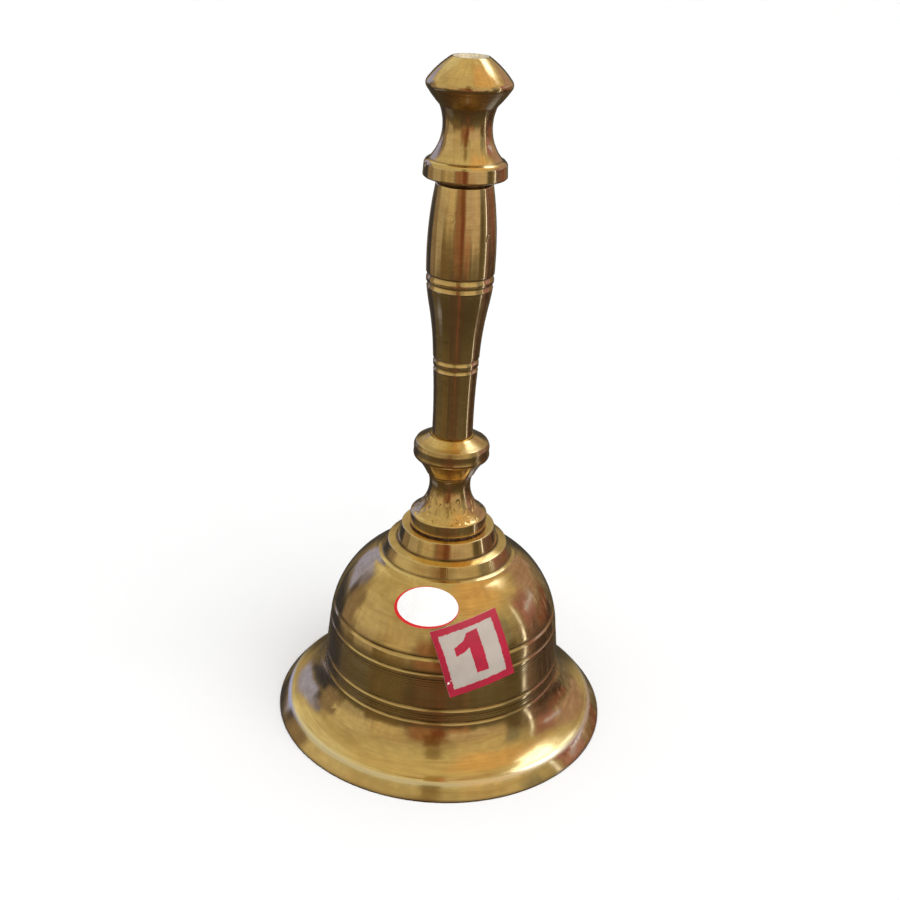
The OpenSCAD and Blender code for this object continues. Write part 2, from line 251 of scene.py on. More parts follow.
def spun(name, points, wear_and_highlight, dirt_and_shade, materials, columns=192, shape=None, material_of_row=None, closed=True):
    """Spins an outline in mm round the axis: a closed loop, or if not closed a line that starts and ends
    on the axis. shape(x, y, z, angle) may return moved x, y and z."""
    if not closed:
        points, wear_and_highlight, dirt_and_shade = points[1:-1], wear_and_highlight[1:-1], dirt_and_shade[1:-1]
    angle = np.radians(FRONT) + np.arange(columns) * 2 * np.pi / columns
    x = points[:, 0][:, None] * np.cos(angle)[None]
    y = points[:, 0][:, None] * np.sin(angle)[None]
    z = np.repeat(points[:, 1][:, None], columns, 1)
    if shape:
        x, y, z = shape(x, y, z, angle[None] + 0 * x)
    attributes = {"along": distance_along(points), "wear_and_highlight": wear_and_highlight, "dirt_and_shade": dirt_and_shade}
    return grid_mesh(name, np.stack([x, y, z], -1), attributes, materials, material_of_row, closed)


def placed(piece, body, slot, *nodes):
    """Puts a finished piece on its body, in place of its CAD nodes. slot is not used."""
    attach(piece, body)
    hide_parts(*nodes)


def swell(x, y, z, seed, size, amount):
    """Smooth noise in -amount..amount mm at each point, with bumps of about size mm."""
    offset = Vector((seed * 7.31, seed * 3.17, seed * 1.93))
    flat = np.c_[x.ravel(), y.ravel(), z.ravel()] / size
    values = [noise.noise(Vector(p) + offset) for p in flat.tolist()]
    return np.array(values).reshape(x.shape) * amount


# ---------------------------------------------------------------- materials

class Value:
    """A node's output, which can be added, subtracted and multiplied like a number."""

    def __init__(self, tree, socket):
        self.tree, self.socket = tree, socket

    def __add__(self, other):
        return self.tree.math("ADD", self, other)

    def __sub__(self, other):
        return self.tree.math("SUBTRACT", self, other)

    def __rsub__(self, other):
        return self.tree.math("SUBTRACT", other, self)

    def __mul__(self, other):
        return self.tree.math("MULTIPLY", self, other)


class Tree:
    """Short calls for the nodes of a material or the world. Any input can be a number or a Value."""

    def __init__(self, owner):
        owner.use_nodes = True
        self.owner, self.nodes, self.links = owner, owner.node_tree.nodes, owner.node_tree.links
        self.nodes.clear()

    def node(self, kind, inputs, output=0, **settings):
        """A new node's output."""
        made = self.nodes.new(kind)
        for key, value in settings.items():
            setattr(made, key, value)
        for key, value in inputs.items():
            if isinstance(value, Value):
                self.links.new(value.socket, made.inputs[key])
            else:
                made.inputs[key].default_value = value
        return Value(self, made.outputs[output])

    def surface(self, kind, inputs, end="Material"):
        """Ends the tree in a shader of this kind, and returns the material or the world."""
        shader = self.node(kind, inputs)
        self.links.new(shader.socket, self.nodes.new("ShaderNodeOutput" + end).inputs["Surface"])
        return self.owner

    def place(self, kind="Object"):
        return self.node("ShaderNodeTexCoord", {}, kind)

    def kept(self, name):
        """A value kept at each point of the mesh."""
        return self.node("ShaderNodeAttribute", {}, "Fac", attribute_name=name)

    def math(self, operation, *values, clamp=False):
        return self.node("ShaderNodeMath", dict(enumerate(values)), operation=operation, use_clamp=clamp)

    def split(self, vector):
        """A vector's x, y and z."""
        outputs = self.node("ShaderNodeSeparateXYZ", {0: vector}).socket.node.outputs
        return [Value(self, output) for output in outputs]

    def join(self, x, y, z):
        return self.node("ShaderNodeCombineXYZ", {0: x, 1: y, 2: z})

    def length(self, vector):
        return self.node("ShaderNodeVectorMath", {0: vector}, "Value", operation="LENGTH")

    def stretched(self, vector, times):
        return self.node("ShaderNodeVectorMath", {0: vector, 1: times}, operation="MULTIPLY")

    def steps(self, value, low, high, to_low=0.0, to_high=1.0):
        """value taken smoothly from low..high to to_low..to_high, and held there outside."""
        return self.node("ShaderNodeMapRange", {0: value, 1: low, 2: high, 3: to_low, 4: to_high},
                         interpolation_type="SMOOTHSTEP")

    def falls(self, value, low, high):
        """1 below low, falling smoothly to 0 at high."""
        return self.steps(value, low, high, 1.0, 0.0)

    def blend(self, share, first, second):
        """The first colour with a share of the second."""
        return self.node("ShaderNodeMix", {0: share, 6: first, 7: second}, 2, data_type="RGBA")

    def noise(self, vector, scale, detail=2.0, roughness=0.5, distortion=0.0):
        return self.node("ShaderNodeTexNoise", {"Vector": vector, "Scale": scale, "Detail": detail,
                                                "Roughness": roughness, "Distortion": distortion}, "Fac")

    def bump(self, height, distance):
        return self.node("ShaderNodeBump", {"Height": height, "Distance": distance, "Strength": 1.0})


def rgb(red, green, blue):
    return (red, green, blue, 1.0)


GRIME_AND_SHADE = rgb(0.055, 0.022, 0.008)        # polish and dirt left in the corners, and painted shade there
TARNISH = rgb(0.40, 0.20, 0.065)        # brown film on brass
RUBBED_AND_HIGHLIGHT = rgb(0.97, 0.86, 0.58)          # pale brass on worn edges and the bell's crest, a painted highlight
CREST_HIGHLIGHT = rgb(0.97, 0.88, 0.66)            # paler still, a painted highlight on the crest of the bell's rim
SPECKS = rgb(0.16, 0.12, 0.10)          # dust in a label's print


def scratched(t, arc, along, strength):
    """Fine scratches in two directions across the tool marks, as a depth. arc is the way round in mm."""
    hairs = []
    for k, (lean, share) in enumerate(((0.55, 0.655), (-0.85, 0.68))):
        u = arc * math.cos(lean) + along * math.sin(lean)
        v = along * math.cos(lean) - arc * math.sin(lean)
        field = t.noise(t.join(u * 0.16, v * 4.2, 3.7 * k + 1.0), 1.0, 2.0, 0.4)
        hairs.append(t.steps(field, share, share + 0.05))
    return t.math("MULTIPLY", hairs[0] + hairs[1], strength, clamp=True)


def pitted(t, place, strength):
    """Upright pits left by casting, as a depth."""
    squeezed = t.stretched(place, (1.0, 1.0, 0.4))
    cells = t.node("ShaderNodeTexVoronoi", {"Vector": squeezed, "Scale": 1100.0, "Randomness": 1.0},
                   "Distance")
    hole = t.falls(cells, 0.16, 0.30)
    some = t.steps(t.noise(place, 420.0, 1.0), 0.50, 0.62)
    return t.math("MULTIPLY", hole * some, strength, clamp=True)


def chattered(t, z, angle, cosine, sine, low, high, count, depth):
    """The waves that a shaking tool cuts between two heights, count of them in a turn."""
    soft = 0.3
    band = t.steps(z, low * MM, (low + soft) * MM) * t.falls(z, (high - soft) * MM, high * MM)
    uneven = t.noise(t.join(cosine * 9.0, sine * 9.0, 0.0), 1.0, 2.0)
    return t.math("SINE", angle * count) * uneven * band * depth


def brass(name, colour, roughness, tarnish, lines, anisotropic=0.6, scratches=0.5, pits=0.0, chatter=None,
          chalk=0.0):
    """Turned brass: fine lines round the axis, a patchy brown film, dirt and painted shade in the corners,
    bright worn edges with a painted highlight, a few scratches across, and pits if it was cast and not
    turned.
    lines is the strength of the tool marks, and chalk the share covered by a pale dull film, as dried polish
    leaves."""
    t = Tree(bpy.data.materials.new(name))
    place = t.place()
    x, y, z = t.split(place)
    angle = t.math("ARCTAN2", x, y * -1.0)
    cosine, sine = t.math("COSINE", angle), t.math("SINE", angle)
    radius = t.length(t.join(x, y, 0.0)) * (1 / MM)
    along, wear_and_highlight, dirt_and_shade = t.kept("along"), t.kept("wear_and_highlight"), t.kept("dirt_and_shade")

    def ringed(across, upward, *settings):
        """Noise drawn out round the axis. across and upward are how fast it changes round and along."""
        return t.noise(t.join(cosine * across, sine * across, along * upward), *settings)

    fine, coarse = ringed(0.9, 5.0, 1.0, 3.0, 0.65), ringed(1.6, 1.1, 1.0, 2.0, 0.5)
    hairs = scratched(t, angle * radius, along, scratches)
    # A brown film in patches, drawn out round the axis where it was wiped, and in blots.
    patches, blots = ringed(1.0, 0.22, 1.9, 4.0, 0.62, 0.4), t.noise(place, 160.0, 3.0, 0.6)
    film = t.steps(patches, 0.42, 0.72) * tarnish
    film = t.math("ADD", film, t.steps(blots, 0.58, 0.78) * (0.5 * tarnish), clamp=True)
    film = t.math("MULTIPLY", film, 1.0 - wear_and_highlight * 0.8, clamp=True)

    shade = t.blend(film, rgb(*colour), TARNISH)
    shade = t.blend(t.steps(fine, 0.35, 0.75) * 0.16, shade, TARNISH)
    # Paler brass on worn edges and on the bell's crest: a painted highlight.
    shade = t.blend(t.math("MULTIPLY", wear_and_highlight, 0.40, clamp=True), shade, RUBBED_AND_HIGHLIGHT)
    # Paler still where wear runs above 1, on the rim's crest: a painted highlight.
    shade = t.blend(t.math("SUBTRACT", wear_and_highlight, 1.0, clamp=True), shade, CREST_HIGHLIGHT)
    # Dirt and painted shade in corners and grooves, broken up by blots.
    soiled_and_shaded = t.math("MULTIPLY", dirt_and_shade, t.steps(blots, 0.25, 0.6, 0.55, 1.0), clamp=True)
    rough = (fine - 0.5) * 0.16 + roughness + film * 0.16 + (coarse - 0.5) * 0.10
    height = fine * lines + coarse * (1.6 * lines) - hairs * 1.3
    if pits:
        hole = pitted(t, place, pits)
        soiled_and_shaded = t.math("MAXIMUM", soiled_and_shaded, hole * 0.85)
        height = height - hole * 9.0
    if chatter:
        height = height + chattered(t, z, angle, cosine, sine, *chatter)
    # Painted shade, with dirt, darkens the colour there.
    shade = t.blend(soiled_and_shaded * 0.9, shade, GRIME_AND_SHADE)
    rough = rough + soiled_and_shaded * 0.35 - t.math("MINIMUM", wear_and_highlight, 1.0) * 0.05
    rough = t.math("ADD", rough, t.math("MAXIMUM", wear_and_highlight - 1.0, 0.0) * 0.20, clamp=True)
    return t.surface("ShaderNodeBsdfPrincipled", {
        "Base Color": shade, "Metallic": 1.0 - chalk, "Roughness": rough,
        "Normal": t.bump(height, 0.0035 * MM), "Anisotropic": anisotropic, "Anisotropic Rotation": 0.25})


def printed(name, colour, shade, roughness, coat):
    """Glossy printed label: slightly uneven ink, small specks, a soft clear coat."""
    t = Tree(bpy.data.materials.new(name))
    place = t.place()
    uneven, grain = t.noise(place, 260.0, 3.0, 0.6), t.noise(place, 2600.0, 2.0, 0.6)
    specks = t.steps(t.noise(place, 1500.0, 1.0), 0.76, 0.80)
    ink = t.blend(t.steps(uneven, 0.35, 0.7), rgb(*colour), rgb(*shade))
    ink = t.blend(specks * 0.35, ink, SPECKS)
    return t.surface("ShaderNodeBsdfPrincipled", {
        "Base Color": ink, "Roughness": (grain - 0.5) * 0.18 + roughness,
        "Normal": t.bump(uneven * 6.0 + grain, 0.004 * MM), "Coat Weight": coat, "Coat Roughness": 0.12})


def rubbery(name):
    """Dark packing: a rough, crumbly squeezed edge."""
    t = Tree(bpy.data.materials.new(name))
    crumbs = t.noise(t.place(), 1900.0, 4.0, 0.7)
    return t.surface("ShaderNodeBsdfPrincipled", {
        "Base Color": t.blend(crumbs, rgb(0.030, 0.014, 0.008), rgb(0.11, 0.055, 0.030)),
        "Roughness": t.steps(crumbs, 0.3, 0.8, 0.55, 0.9), "Normal": t.bump(crumbs, 0.12 * MM)})


# ---------------------------------------------------------------- the turned pieces

def smooth_bump(value, low, high, soft):
    """1 between low and high, falling smoothly to 0 over soft outside them."""
    rise = np.clip((value - low + soft) / soft, 0, 1)
    fall = np.clip((high + soft - value) / soft, 0, 1)
    share = np.minimum(rise, fall)
    return share * share * (3 - 2 * share)


def nicks_at(x, y, z, angle, nicks):
    """Depth in mm of small dents. Each has its degrees from the front, height, half width, half height, lean
    and depth."""
    turn = (np.degrees(angle) - FRONT + 180) % 360 - 180
    radius = np.hypot(x, y)
    depth = np.zeros_like(x)
    for at, height, wide, tall, lean, deep in nicks:
        u = np.radians(turn - at) * radius
        v = z - height
        across = (u * math.cos(lean) + v * math.sin(lean)) / wide
        upward = (v * math.cos(lean) - u * math.sin(lean)) / tall
        depth += deep * np.exp(-across ** 2 - upward ** 2)
    return depth


def moved_in(x, y, depth):
    """Points moved towards the axis by depth mm."""
    radius = np.maximum(np.hypot(x, y), 1e-6)
    share = (radius - depth) / radius
    return x * share, y * share


ROUNDED_STEP = 0.09         # mm between points of a rounded outline


def rounded_over(points, extras, near, reach, soft):
    """Rounds the outline within reach mm of a point on it, by averaging it over about soft mm."""
    along = distance_along(points)
    middle = along[int(np.argmin(np.linalg.norm(points - near, axis=1)))]
    at = np.arange(middle - reach, middle + reach + 0.01, ROUNDED_STEP)
    line = np.c_[np.interp(at, along, points[:, 0]), np.interp(at, along, points[:, 1])]
    spread = soft * np.minimum(1, (reach - np.abs(at - middle)) / (0.5 * reach)) + 0.01
    weight = np.exp(-0.5 * ((at[None] - at[:, None]) / spread[:, None]) ** 2)
    line = weight @ line / weight.sum(axis=1)[:, None]
    before, after = along < at[0] - 0.02, along > at[-1] + 0.02
    out = np.concatenate([points[before], line, points[after]])
    kept = [np.concatenate([e[before], np.interp(at, along, e), e[after]]) for e in extras]
    return out, kept


def shade_over_lines(points, wear_and_highlight, dirt_and_shade, corners, tall):
    """Painted shade along the top of each turned line, from its deepest corner over the edge above it."""
    outside = np.arange(len(points)) > int(np.argmax(points[:, 0]))
    for height in corners:
        above = (points[:, 1] - height) / tall
        near = outside & (above > -0.25) & (above < 1)
        dirt_and_shade[near] = np.maximum(dirt_and_shade[near], np.clip(1.25 - above[near], 0, 1))
        wear_and_highlight[near & (above > 0.1)] = 0


OUT_OF_BORE = 3.0           # mm, points nearer the axis belong to the hole for the rod


def bell_shell(outer, inner):
    """The sounding shell, with fine ridges beside its turned lines and a rougher inside."""
    loop = turned_outline("bell_shell")
    line_d, line_c, line_b, line_a = corners_in(loop, 10, 30)
    points, wear_and_highlight, dirt_and_shade = refined(loop, 0.09, 0.55)
    # Painted shade along the top of the turned lines.
    shade_over_lines(points, wear_and_highlight, dirt_and_shade, [line_d, line_c, line_b, line_a], 0.5)
    on_rim = (loop[:, 1] > 2) & (loop[:, 1] < 5) & (loop[:, 0] > line_d + 12)
    ridge = loop[int(np.argmax(np.where(on_rim, turn_at(loop), 0)))]
    points, extras = rounded_over(points, [wear_and_highlight, dirt_and_shade], ridge, 1.5, 0.34)
    points, extras = with_tool_marks(points, extras, line_d + 0.50, line_c - 0.72, 0.54, 0.020, 1)
    points, extras = with_tool_marks(points, extras, line_b - 4.80, line_b - 0.62, 0.60, 0.022, 2, 0.15)
    # A painted highlight along the rounded crest of the rim, given as wear above 1.
    crest_highlight = np.exp(-(np.linalg.norm(points - ridge, axis=1) / 0.70) ** 2)
    extras[0] = np.maximum(extras[0], 2.2 * crest_highlight)
    lip = float(points[:, 0].max())
    inside = np.arange(len(points)) < int(np.argmax(points[:, 0]))
    # Painted shade along the bottom of the outer lip, just above the floor.
    shade_under_lip = np.clip(1.6 - points[:, 1] / 0.35, 0, 1)
    extras[1] = np.maximum(extras[1], np.where(inside, 0, shade_under_lip))
    nicks = [(-55.2, 6.9, 0.14, 1.25, -0.75, 0.07), (-56.5, 3.6, 0.9, 0.16, 0.2, 0.05),
             (-34.0, 4.4, 1.3, 0.14, 0.25, 0.05), (12.5, 0.25, 0.35, 0.25, 0.0, 0.10),
             (140.0, 0.30, 0.5, 0.3, 0.0, 0.12), (-150.0, 9.0, 0.2, 1.1, 0.5, 0.05),
             (75.0, 19.0, 0.12, 0.9, 0.9, 0.04), (205.0, 24.5, 0.15, 1.0, -0.6, 0.05)]

    def shape(x, y, z, angle):
        depth = nicks_at(x, y, z, angle, nicks)
        out_of_round = 0.012 * (np.sin(2 * angle + 0.7) + 0.6 * np.sin(3 * angle + 2.1))
        depth += out_of_round * np.clip(1 - z / 40, 0, 1)
        depth += np.where(inside[:, None], swell(x, y, z, 5, 2.6, 0.035), 0)
        x, y = moved_in(x, y, np.maximum(depth, -0.02))
        spare = lip / np.maximum(np.hypot(x, y), lip)
        return x * spare, y * spare, np.maximum(z, 0)

    return spun("bell_body", points, *extras, [outer, inner], columns=320, shape=shape,
                material_of_row=inside.astype(np.int32))


def cast_pits(x, y, z, low, high, seed):
    """Depth in mm of upright pits, left by casting, between two heights."""
    field = swell(x, y, z * 0.45, seed, 0.75, 1.0)
    return 0.16 * np.clip(field - 0.16, 0, 0.35) / 0.35 * smooth_bump(z, low, high, 0.7)


def handle_foot(material):
    """Flange, hollow neck with casting pits, stepped cone and collar."""
    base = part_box("handle_foot")[0].z / MM
    points, wear_and_highlight, dirt_and_shade = refined(turned_outline("handle_foot"), 0.10, 0.17)
    # Dirt and painted shade on the side of the collar.
    dirty_shaded_collar_wall = smooth_bump(points[:, 1], base + 16.5, base + 19.2, 0.3) * (points[:, 0] > 6)
    dirt_and_shade = np.maximum(dirt_and_shade, 0.25 * dirty_shaded_collar_wall)

    nicks = [(-38, base + 18.9, 0.5, 0.25, 0.0, 0.10), (60, base + 1.3, 0.4, 0.5, 0.3, 0.06)]

    def shape(x, y, z, angle):
        depth = cast_pits(x, y, z, base + 3.1, base + 6.6, 11) + nicks_at(x, y, z, angle, nicks)
        return *moved_in(x, y, np.where(np.hypot(x, y) > OUT_OF_BORE, depth, 0)), z

    return spun("handle_foot_brass", points, wear_and_highlight, dirt_and_shade, [material], columns=256, shape=shape)


def handle_grip(material):
    """The baluster grip, with two pairs of turned rings and a bright nick."""
    loop = turned_outline("handle_grip")
    points, wear_and_highlight, dirt_and_shade = refined(loop, 0.07, 0.35)
    # Painted shade along the top of the turned rings.
    shade_over_lines(points, wear_and_highlight, dirt_and_shade, corners_in(loop, 75, 105), 0.45)
    nicks = [(46.4, 108.6, 0.14, 0.55, -0.55, 0.13), (45.0, 108.1, 0.12, 0.25, -0.5, 0.08),
             (-10.2, 113.4, 0.16, 0.16, 0.0, 0.07), (-16.0, 111.7, 0.14, 0.2, 0.0, 0.05),
             (28.0, 96.5, 0.1, 0.6, 0.4, 0.04), (-120.0, 104.0, 0.15, 0.7, 0.6, 0.07),
             (160.0, 90.0, 0.12, 0.8, -0.4, 0.05), (-30.0, 76.0, 0.1, 0.5, 0.3, 0.03)]

    def shape(x, y, z, angle):
        depth = nicks_at(x, y, z, angle, nicks) + 0.010 * np.sin(2 * angle + z / 9)
        return *moved_in(x, y, np.where(np.hypot(x, y) > OUT_OF_BORE, np.maximum(depth, -0.01), 0)), z

    return spun("handle_grip_brass", points, wear_and_highlight, dirt_and_shade, [material], columns=256, shape=shape)


def handle_finial(material, recess):
    """Collar, hollow neck and knob, with a rough recess in its top."""
    low, high = (corner.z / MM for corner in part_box("handle_finial"))
    points, wear_and_highlight, dirt_and_shade = refined(turned_outline("handle_finial"), 0.12, 0.22)
    # Painted shade at the bottom, where the finial stands on the grip.
    shaded_crevice = (points[:, 1] < low + 1.15) & (points[:, 0] < 7.4)
    dirt_and_shade = np.maximum(dirt_and_shade, np.where(shaded_crevice, 0.9, 0))
    # Painted shade under the knob.
    shade_under_knob = smooth_bump(points[:, 1], high - 9.6, high - 6.1, 1.2) * (points[:, 0] > 3)
    dirt_and_shade = np.maximum(dirt_and_shade, 0.36 * shade_under_knob)
    in_recess = (points[:, 1] > high - 1.3) & (points[:, 0] < 3.35)
    nicks = [(-72, low + 3.6, 0.55, 0.35, 0.3, 0.22), (22, high - 5.2, 0.5, 0.3, 0.5, 0.06),
             (118, low + 2.0, 0.3, 0.5, 0.1, 0.08)]

    def shape(x, y, z, angle):
        radius = np.hypot(x, y)
        hollow = smooth_bump(radius, 2.4, 3.2, 0.25) * smooth_bump(z, high - 1.2, high + 1, 0.2)
        rough = swell(x, y, z, 17, 0.55, 0.28) * hollow
        x, y = moved_in(x, y, np.where(radius > 3.2, nicks_at(x, y, z, angle, nicks), 0))
        return x, y, np.minimum(z + np.minimum(rough, 0.1), high)

    return spun("handle_finial_brass", points, wear_and_highlight, dirt_and_shade, [material, recess], columns=256, shape=shape,
                material_of_row=in_recess.astype(np.int32))


def crown_packing(material):
    """The dark packing, squeezed out unevenly round the flange."""
    points, wear_and_highlight, dirt_and_shade = refined(turned_outline("crown_packing"), 0.08, 0.15)

    def shape(x, y, z, angle):
        radius = np.hypot(x, y)
        ragged = swell(np.cos(angle) * 8, np.sin(angle) * 8, z, 23, 0.7, 0.34) - 0.05
        return *moved_in(x, y, np.where(radius > 6, ragged, 0)), z

    return spun("packing_ring", points, wear_and_highlight, dirt_and_shade, [material], columns=320, shape=shape)


def crown_washer(material):
    points, wear_and_highlight, dirt_and_shade = refined(turned_outline("crown_washer"), 0.12, 0.3)
    return spun("washer_brass", points, wear_and_highlight, dirt_and_shade, [material], columns=128)


# ---------------------------------------------------------------- rod, nut, eye, link and clapper

def capped_line(*corners, edge=0.08, step=0.3):
    """An outline from the axis back to the axis through (radius, height) corners in mm, with rounded
    edges."""
    mirrored = [(-r, z) for r, z in reversed(corners) if r > 0]
    loop = np.array([*corners, *mirrored], float)
    points, wear_and_highlight, dirt_and_shade = refined(loop, edge, step)
    keep = points[:, 0] > -1e-9
    return points[keep], wear_and_highlight[keep], dirt_and_shade[keep]


def tie_rod(material):
    """The rod, with its top end hammered over in the knob's recess."""
    low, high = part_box("tie_rod")
    bottom, top, radius = low.z / MM, high.z / MM, high.x / MM
    points, wear_and_highlight, dirt_and_shade = capped_line(
        (0, bottom), (radius - 0.4, bottom), (radius, bottom + 0.4), (radius, top - 0.5),
        (radius + 0.12, top - 0.15), (radius - 0.1, top), (1.3, top - 0.05), (0.7, top - 0.3),
        (0, top - 0.38))

    def shape(x, y, z, angle):
        hammered = swell(x, y, z * 0, 31, 0.9, 0.22) + swell(x, y, z * 0, 37, 0.38, 0.10)
        return x, y, z + np.clip(hammered, -0.3, 0.12) * smooth_bump(z, top - 0.8, top + 1, 0.15)

    return spun("tie_rod_brass", points, wear_and_highlight, dirt_and_shade, [material], columns=96, shape=shape, closed=False)


def clamp_nut(material):
    """A hexagonal nut with both faces chamfered."""
    low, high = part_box("clamp_nut")
    bottom, top = low.z / MM, high.z / MM
    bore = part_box("tie_rod")[1].x / MM + 0.05
    flat = high.y / MM                      # from the axis to each flat
    columns = 288
    angle = np.arange(columns) * 2 * np.pi / columns
    to_flat = (angle + np.radians(FRONT)) % (np.pi / 3) - np.pi / 6
    hexagon = flat / np.cos(to_flat)
    drop = 0.04 + np.maximum(hexagon - flat * 1.02, 0) * math.tan(math.radians(30))
    face = np.minimum(hexagon - 0.05, flat * 1.02 - 0.02)
    sunk = 0.25                             # of the bore's chamfer
    rows = []
    for radius, height in ((bore + sunk, bottom), (face, bottom), (hexagon, bottom + drop),
                           (hexagon, top - drop), (face, top), (bore + sunk, top), (bore, top - sunk),
                           (bore, bottom + sunk)):
        rows.append(np.stack([radius * np.cos(angle + np.radians(FRONT)),
                              radius * np.sin(angle + np.radians(FRONT)), height + 0 * angle], -1))
    grid = []
    for row, after in zip(rows, rows[1:] + rows[:1]):
        # Extra rows near each edge keep the shading of the faces flat.
        grid += [row * (1 - share) + after * share for share in (0, 0.04, 0.5, 0.96)]
    # Its edges are worn, with a painted highlight, and the whole nut is darkened a little.
    wear_and_highlight = np.tile([0.5, 0.1, 0.0, 0.1], len(rows))
    attributes = {"along": np.arange(len(grid)) * 0.5, "wear_and_highlight": wear_and_highlight, "dirt_and_shade": 0.25 + 0 * wear_and_highlight}
    return grid_mesh("nut_brass", np.stack(grid), attributes, [material])


def bevelled_copy(name, node, width, material):
    """A CAD node's own shape as a new piece, with every sharp edge rounded by width mm."""
    work = bmesh.new()
    work.from_mesh(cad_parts[node].data)
    bmesh.ops.remove_doubles(work, verts=work.verts, dist=0.002 * MM)
    bmesh.ops.dissolve_limit(work, angle_limit=math.radians(1), verts=work.verts, edges=work.edges)
    sharp = [e for e in work.edges if len(e.link_faces) == 2 and e.calc_face_angle() > math.radians(35)]
    bmesh.ops.bevel(work, geom=sharp, offset=width * MM, segments=3, profile=0.5, affect="EDGES",
                    clamp_overlap=True)
    mesh = bpy.data.meshes.new(name)
    work.to_mesh(mesh)
    work.free()
    mesh.materials.append(material)
    mesh.shade_smooth()
    mesh.set_sharp_from_angle(angle=math.radians(32))
    return linked(name, mesh)


def tube(name, path, radius, side, material, closed=True):
    """A round bar along a path of points in mm that lies in the plane square to side. radius is given at
    each point."""
    sides = 24
    if closed:
        way = np.roll(path, -1, axis=0) - np.roll(path, 1, axis=0)
    else:
        way = np.gradient(path, axis=0)
    way /= np.linalg.norm(way, axis=1)[:, None]
    side = np.repeat(np.array([side], float), len(path), 0)
    up = np.cross(way, side)
    angle = (np.arange(sides) * 2 * np.pi / sides)[None, :, None]
    spread = np.cos(angle) * side[:, None] + np.sin(angle) * up[:, None]
    grid = path[:, None] + radius[:, None, None] * spread
    zero = np.zeros(len(path))
    return grid_mesh(name, grid, {"along": distance_along(path), "wear_and_highlight": zero, "dirt_and_shade": zero}, [material],
                     closed=closed)


def bent_wire(material):
    """The link: a ring of wire bent round until its cut ends almost meet."""
    low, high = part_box("clapper_link")
    wire = (high.y - low.y) / 2 / MM
    mean = (high.x - low.x) / 2 / MM - wire
    centre = (high.z + low.z) / 2 / MM
    gap_at, half_gap = math.radians(160), 0.12 / mean
    turn = gap_at + np.linspace(half_gap, 2 * np.pi - half_gap, 121)
    turn = np.concatenate([[turn[0]], turn[:1] + 0.015, turn[1:-1], turn[-1:] - 0.015, [turn[-1]]])
    path = np.c_[mean * np.cos(turn), 0 * turn, centre + mean * np.sin(turn)]
    radius = np.full(len(turn), wire)
    radius[[0, -1]] = 0.82 * wire           # the cut ends are a little rounded
    return tube("link_wire", path, radius, (0, 1, 0), material, closed=False)


def clapper_loop(material):
    """The closed eye at the top of the clapper's stem."""
    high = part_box("clapper_stem")[1]
    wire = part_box("clapper_link")[1].y / MM
    mean = high.y / MM - wire
    centre = high.z / MM - wire - mean
    turn = np.arange(96) * 2 * np.pi / 96
    path = np.c_[0 * turn, mean * np.cos(turn), centre + mean * np.sin(turn)]
    thick = wire * (1 + 0.10 * np.exp(-((turn - 1.5 * np.pi) / 0.5) ** 2))
    return tube("clapper_loop", path, thick, (1, 0, 0), material)


def clapper_shank(material):
    """The stem under the loop, with a small turned collar where it meets the ball."""
    low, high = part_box("clapper_stem")
    radius, bottom = high.x / MM, low.z / MM
    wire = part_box("clapper_link")[1].y / MM
    loop = high.y / MM - wire
    top = high.z / MM - 2 * wire - 2 * loop + 0.3
    points, wear_and_highlight, dirt_and_shade = capped_line(
        (0, bottom), (radius, bottom), (radius, bottom + 0.35), (radius * 1.35, bottom + 0.5),
        (radius * 1.35, bottom + 0.9), (radius * 0.95, bottom + 1.15), (radius * 0.86, (bottom + top) / 2),
        (radius, top - 0.7), (radius * 0.8, top - 0.1), (0, top), edge=0.12, step=0.2)
    return spun("clapper_shank", points, wear_and_highlight, dirt_and_shade, [material], columns=64, closed=False)


def clapper_ball(material):
    """The turned ball, with bright flats where it strikes."""
    low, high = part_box("clapper_ball")
    radius = high.x / MM
    centre = low.z / MM + radius
    highest = math.degrees(math.asin(min(1, (high.z / MM - centre) / radius)))
    steps = np.radians(np.linspace(-90, highest, 72))
    ring = np.c_[radius * np.cos(steps), centre + radius * np.sin(steps)]
    ring = np.vstack([[0, low.z / MM], ring[1:], [0, ring[-1, 1]]])
    groove = np.exp(-((ring[:, 1] - centre - 0.5) / 0.10) ** 2)
    ring[:, 0] -= 0.08 * groove
    marks = [(0, centre + 1.6, 1.0, 0.9, 0.0, 0.09), (180, centre + 1.5, 1.1, 0.8, 0.0, 0.09),
             (9, centre + 2.2, 0.5, 0.6, 0.3, 0.06), (171, centre + 0.4, 0.5, 0.6, 0.3, 0.05),
             (-12, centre + 0.9, 0.6, 0.4, 0.2, 0.05), (192, centre + 2.6, 0.4, 0.5, 0.2, 0.05)]

    def shape(x, y, z, angle):
        return *moved_in(x, y, nicks_at(x, y, z, angle, marks)), z

    return spun("clapper_ball_brass", ring, 0 * groove, 0.8 * groove, [material], columns=128, shape=shape,
                closed=False)


# ---------------------------------------------------------------- labels

ABOVE_SKIN = 0.02                           # mm between the bell and the back of a label
LABEL_SIDE, LABEL_ROLL = 14.5, 14.2         # of the number label, in mm and degrees
OVAL_HALF, OVAL_ROLL = (6.7, 4.4), 4.0      # half axes and roll of the oval label


